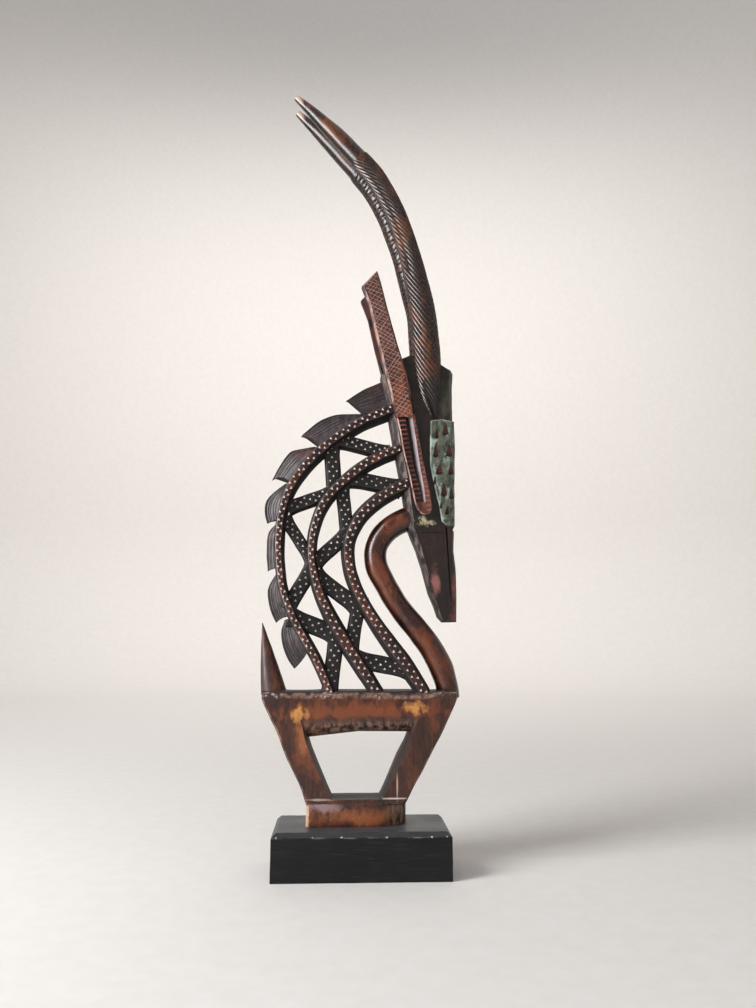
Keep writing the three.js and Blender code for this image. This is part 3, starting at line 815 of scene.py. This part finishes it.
def make_strap():
    """Loop that hangs from the ear, with a ladder of cells, a deep slot and a notched right leg."""
    top = -STRAP_OUTER
    strap = solid("strap", plate(STRAP, [(-8, 0), (top + 1.6, 0), (top + 0.4, 0.7), (top, 1.2)], 6),
                  LOOP_WOOD, 0.2)
    cells = []
    for z in np.linspace(472, 585, STRAP_CELLS):
        rim, right = strips_at(z)[:2]
        low, high, lean = z - 2.1, z + 2.1, -0.9
        corners = [(rim + 2.0, low), (right + 0.6, low + 0.6), (right + 0.6 + lean, high + 0.6),
                   (rim + 2.0 + lean, high)]
        cells.append(loft([[(x, y, h) for x, h in corners] for y in (top - 1, top + 1.8)]))
    ticks = []
    for z in np.linspace(460, 588, STRAP_CELLS + 2):
        wall, edge = strips_at(z)[3:]
        ticks.append(groove((wall + 0.3, z - 0.4), (edge + 1, z + 0.6), top, 1.5, 0.9))
    # The cells are near black: painted shade.
    return combine(strap, [solid("pockets", merged_skin(cells), PAINTED_SHADE_CUT),
                           solid("notches", merged_skin(ticks), HATCH_CUT)], "DIFFERENCE")


def make_slot():
    """Slot of the loop: near black as painted shade at the left, with a pale slope at its right painted as
    lit.
    """
    top = -STRAP_OUTER
    rings = []
    for z in np.linspace(470, 600, 14):
        rim, right, foot, wall, edge = strips_at(z)
        rings.append([(right, top - 1, z), (wall + 0.4, top - 1, z), (foot, top + 7, z),
                      (right + 0.3, top + 7, z)])
    return solid("slot", loft(rings), PAINTED_SHADE_CUT, 0, 1, PAINTED_LIT_WALL_CUT, lambda i: i > 1 and (i - 2) % 4 == 1)


def make_side(side):
    """Ear, loop and face panel of one side of the head, cut and hatched."""
    top = -EAR_OUTER

    def ear_place(x, y, z):
        return x, (-8 if y > -EAR_INNER - 1 and z < EAR_ROOT else y), z

    ear = solid("ear", plate(EAR, [(-EAR_INNER, 0), (top + 3, 0), (top + 0.9, 0.75), (top, 1.2)], 8,
                             ear_place), EAR_WOOD, 0.3)
    for number, cuts in enumerate(hatch_lines(top)):
        ear = combine(ear, [solid(f"hatch_{number}", merged_skin(cuts), HATCH_CUT)], "DIFFERENCE")

    face = solid("face", plate(FACE, [(-8, 0), (-FACE_HALF + 2, 0), (-FACE_HALF + 0.6, 0.6),
                                      (-FACE_HALF, 1.1)], 6), BROW_WOOD, 0.6, 12)
    chips = []
    for x, z, width, height in CHIPS:
        outline = [(x - width / 2, z), (x, z - 0.12 * height), (x + width / 2, z + 0.05 * height),
                   (x + width * 0.32, z + 0.6 * height), (x + width * 0.1, z + height),
                   (x - width * 0.2, z + 0.65 * height)]
        deep = [-FACE_HALF + CHIP_DEPTH * (0.9 - 0.8 * (pz - z) / height) for px, pz in outline]
        chips.append(loft([[(px, y, pz) for (px, pz), y in zip(outline, deep)],
                           [(px, -FACE_HALF - 3, pz) for px, pz in outline]]))
    face = combine(face, [solid("chips", merged_skin(chips), CHIP_CUT)], "DIFFERENCE")
    whole = combine(face, [ear, make_strap()], "UNION")
    whole = combine(whole, [make_slot()], "DIFFERENCE")
    if side > 0:
        mesh = whole.data
        flip = np.zeros(len(mesh.vertices) * 3)
        mesh.vertices.foreach_get("co", flip)
        flip = flip.reshape(-1, 3) * (1, -1, 1)
        mesh.vertices.foreach_set("co", flip.ravel())
        mesh.flip_normals()
    return whole


def make_head():
    levels = [(-22, 1.12), (-21.2, 1.0), (-17.5, 0.58), (-13, 0.1), (-11, 0)]
    levels += [(-y, share) for y, share in reversed(levels)]
    block = solid("head", plate(HEAD, levels, 8, muzzle_taper), HEAD_WOOD, 0.45)
    cutters = []
    for surface in (-HEAD_HALF, HEAD_HALF):
        near = math.copysign(1, surface)
        outline = [(111.2, 438), (113.5, 438), (118.8, 345), (117.6, 345)]
        cutters.append(loft([[(x, surface + near, z) for x, z in outline],
                             [(x, near * 12.5, z) for x, z in outline]]))
        cutters.append(groove((80, 430.4), (110, 430.8), near * 19.4, 1.2, 0.8))
    notch = [(122, 433.3), (140, 433.3), (140, 437.7), (122, 437.7)]
    cutters.append(loft([[(x, y, z) for x, z in notch] for y in (-40, 40)]))
    # The grooves and the notch are near black: painted shade.
    return combine(block, [solid("grooves", merged_skin(cutters), PAINTED_SHADE_CUT)], "DIFFERENCE")


def rounded_back(x, y, z):
    """Rounds the body's upper long edges, less so at its ends."""
    radius = 14.0
    middle = min(1.0, max(0.0, (108 - abs(x + 2)) / 24))
    over = max(0.0, abs(y) - (BODY_HALF - radius))
    drop = (radius - math.sqrt(max(0.0, radius ** 2 - over ** 2))) * middle
    high = min(1.0, max(0.0, (z - 200) / 20))
    return x, y, z - drop * high


def make_stand():
    """Body on two legs and a foot, with the tail."""
    rim = [(*row, 2.0) for row in FRAME]
    levels = [(-BODY_HALF, 1.15), (-BODY_HALF + 0.8, 0.55), (-BODY_HALF + 3, 0)]
    levels += [(y, 0) for y in (-24, -20, -15)]
    levels += [(-y, share) for y, share in reversed(levels)]
    block = solid("block", plate(rim, levels, 9, rounded_back), BODY_WOOD, 0.9, 26)
    bay_rings = []
    depths = (31, 29.5, 28, 25.5, 22, 17, 12, BAY_WAIST_HALF)
    for y in [-d for d in depths] + list(reversed(depths)):
        into = min(1.0, max(0.0, (30 - abs(y)) / (30 - BAY_WAIST_HALF)))
        rounded = math.sqrt(1 - (1 - into) ** 2)
        ring = []
        for outer, inner in zip(BAY_FRONT if y < 0 else BAY_BACK, BAY_WAIST):
            share = rounded if outer[1] > 175 else into
            ring.append((outer[0] + (inner[0] - outer[0]) * share, y,
                         outer[1] + BELLY_ROUND * (outer[1] > 175) * (1 - share)
                         + (inner[1] - outer[1]) * share))
        bay_rings.append(ring)
    block = combine(block, [solid("bay", loft(bay_rings), BODY_WOOD)], "DIFFERENCE")
    foot_levels = [(57 + FIT_GAP, 0.2), (59, 0), (FOOT_TOP - 2.2, 0), (FOOT_TOP - 0.6, 0.6),
                   (FOOT_TOP, 1.6)]
    fine = finer([(*p, 1.0) for p in FOOT_PLAN], 9)
    foot_rings = [[(x, y, z) for x, y in inset(fine, share)] for z, share in foot_levels]
    foot = solid("foot", loft(foot_rings), FOOT_WOOD, 0.7, 15)
    for corner in foot.data.vertices:
        corner.co.z = max(corner.co.z, 57 + FIT_GAP)
    tail_rings = []
    for k in range(16):
        rise = k / 15
        width = 1 - rise ** 1.15 * 0.97
        middle = [TAIL_BASE[i] + (TAIL_APEX[i] - TAIL_BASE[i]) * rise for i in (0, 1)]
        tail_rings.append([(middle[0] + a * TAIL_RADII[0] * width, b * TAIL_RADII[1] * width, middle[1])
                           for a, b in polar(18)])
    tail = solid("tail", loft(tail_rings), TAIL_WOOD, 0.5, 16)
    return combine(block, [foot, tail], "UNION")


def make_carving():
    """The whole animal as one closed skin, as it is carved from one block."""
    body = make_stand()
    members = [make_rib("outer_rib", OUTER_RIB), make_rib("middle_rib", MIDDLE_RIB),
               make_rib("inner_rib", INNER_RIB), make_neck()]
    members += [make_strut(i, row) for i, row in enumerate(STRUTS)]
    members += [make_leaf(i, row) for i, row in enumerate(LEAVES)]
    members += [make_head(), make_side(-1), make_side(1), make_horn(1), make_horn(-1)]
    return combine(body, members, "UNION")


def drop_crumbs(piece, least=24):
    """Removes loose closed bits with few corners that joining can leave."""
    shape = bmesh.new()
    shape.from_mesh(piece.data)
    waiting = set(shape.verts)
    crumbs = []
    while waiting:
        island, edge = set(), [waiting.pop()]
        while edge:
            corner = edge.pop()
            island.add(corner)
            for link in corner.link_edges:
                other = link.other_vert(corner)
                if other in waiting:
                    waiting.remove(other)
                    edge.append(other)
        if len(island) < least:
            crumbs += island
    bmesh.ops.delete(shape, geom=crumbs, context="VERTS")
    shape.to_mesh(piece.data)
    shape.free()


def settle(piece, name, lift=(0, 0, 0)):
    """Turns a finished piece to metres, gives it soft shading between its sharp edges."""
    drop_crumbs(piece)
    mesh = piece.data
    places = np.zeros(len(mesh.vertices) * 3)
    mesh.vertices.foreach_get("co", places)
    places = (places.reshape(-1, 3) + lift) * MM
    mesh.vertices.foreach_set("co", places.ravel())
    mesh.update()
    mesh.polygons.foreach_set("use_smooth", [True] * len(mesh.polygons))
    mesh.set_sharp_from_angle(angle=math.radians(32))
    weigh = piece.modifiers.new("weighted", "WEIGHTED_NORMAL")
    weigh.keep_sharp = True
    piece.name = name
    mesh.name = name
    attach(piece, "root")
    return piece


def make_plinth():
    length, depth, height = PLINTH_SIZE
    plan = [(-length / 2, -depth / 2), (length / 2, -depth / 2), (length / 2, depth / 2),
            (-length / 2, depth / 2)]
    fine = finer([(*p, 1.0) for p in plan], 7)
    levels = [(0, 0.35), (0.6, 0), (12, 0), (26, 0), (40, 0), (height - PLINTH_CHAMFER - 0.4, 0),
              (height - PLINTH_CHAMFER + 0.4, 0.3), (height - 0.5, 5.3), (height, 6.1)]
    rings = [[(x, y, z) for x, y in inset(fine, share)] for z, share in levels]
    block = solid("plinth_block", loft(rings), BLACK_PAINT, 0.25, 9)
    for corner in block.data.vertices:
        corner.co.z = max(0.0, corner.co.z)
    chips = []
    for x, z, size in ((-24.7, 51.4, 3), (30.4, 51.2, 3.4), (86, 52, 6), (-104, 51.5, 2.6),
                       (104, 51.4, 2.4), (-60, 51.6, 1.8)):
        chips.append(loft([[(x - size, -56, z + 1.6), (x + size, -56, z + 2), (x, -56, z - size)],
                           [(x - size * 0.5, -50.6, z + 1.2), (x + size * 0.6, -50.6, z + 1.4),
                            (x, -50.9, z + 0.3)]]))
    return combine(block, [solid("edge_chips", merged_skin(chips), BARE_EDGE)], "DIFFERENCE")


antelope = settle(make_carving(), "antelope_carving", (0, CARVING_Y, 0))
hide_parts("antelope")
plinth = settle(make_plinth(), "painted_plinth")
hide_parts("plinth")


# Stage, light and camera

def make_stage():
    """Pale floor that turns up far away all round."""
    profile = [(r, 0.0) for r in (0.5, 1.0, 2.0, 3.0)]
    profile += [(3.0 + math.sin(a), 1 - math.cos(a)) for a in np.linspace(0.1, math.pi / 2, 12)]
    profile += [(4.0, 3.0), (4.0, 5.5)]
    sides = 96
    shape = bmesh.new()
    rows = []
    for radius, height in profile:
        rows.append([shape.verts.new((radius * math.cos(2 * math.pi * i / sides),
                                      radius * math.sin(2 * math.pi * i / sides), height))
                     for i in range(sides)])
    shape.faces.new(rows[0])
    for low, high in zip(rows, rows[1:]):
        for i in range(sides):
            j = (i + 1) % sides
            shape.faces.new((low[j], low[i], high[i], high[j]))
    mesh = bpy.data.meshes.new("floor")
    shape.to_mesh(mesh)
    shape.free()
    mesh.polygons.foreach_set("use_smooth", [True] * len(mesh.polygons))
    s = Shader("pale_floor")
    speck = s.noise((40, 40, 40), 4)
    mesh.materials.append(s.finish(s.mix(s.span(speck, 0.3, 0.7), "d9d5d0", "dedad6"), 0.85, speck,
                                   0.1))
    floor = bpy.data.objects.new("floor", mesh)
    bpy.context.scene.collection.objects.link(floor)


def make_light(name, place, aim, size, power, colour, spread=180):
    data = bpy.data.lights.new(name, "AREA")
    data.shape = "RECTANGLE"
    data.spread = math.radians(spread)
    data.size, data.size_y = size
    data.energy = power
    data.color = colour
    lamp = bpy.data.objects.new(name, data)
    lamp.location = place
    lamp.rotation_mode = "QUATERNION"
    lamp.rotation_quaternion = (Vector(aim) - Vector(place)).to_track_quat("-Z", "Y")
    lamp.visible_camera = False
    bpy.context.scene.collection.objects.link(lamp)


def make_world():
    world = bpy.data.worlds.new("soft_room")
    world.use_nodes = True
    background = world.node_tree.nodes["Background"]
    background.inputs["Color"].default_value = (0.93, 0.95, 1.0, 1)
    background.inputs["Strength"].default_value = 0.6
    bpy.context.scene.world = world


def make_camera():
    """Camera that fits the photograph: place, pitch up, yaw to the right and roll."""
    pitch, yaw, roll = (math.radians(a) for a in (9.203, 2.647, 0.134))
    forward = Vector((math.sin(yaw) * math.cos(pitch), math.cos(yaw) * math.cos(pitch),
                      math.sin(pitch)))
    right = Vector((math.cos(yaw), -math.sin(yaw), 0))
    up = right.cross(forward)
    right, up = (right * math.cos(roll) + up * math.sin(roll),
                 up * math.cos(roll) - right * math.sin(roll))
    data = bpy.data.cameras.new("camera")
    data.sensor_width = 36
    data.lens = 791 / 1008 * 36
    camera = bpy.data.objects.new("camera", data)
    camera.location = (-0.0283, -1.0635, 0.298)
    camera.rotation_mode = "QUATERNION"
    turn = Vector(right), Vector(up), -Vector(forward)
    camera.rotation_quaternion = Matrix(turn).transposed().to_quaternion()
    bpy.context.scene.collection.objects.link(camera)
    bpy.context.scene.camera = camera
    bpy.context.scene.view_settings.view_transform = "Standard"


make_stage()
make_world()
make_light("window", (-1.9, -1.0, 1.2), (0, 0, 0.5), (0.9, 2.0), 88, (0.96, 0.98, 1.0))
make_light("wall_wash", (0, 1.2, 3.8), (0, 4.0, 1.0), (3.0, 1.5), 42, (1.0, 0.98, 0.96), 110)
make_camera()
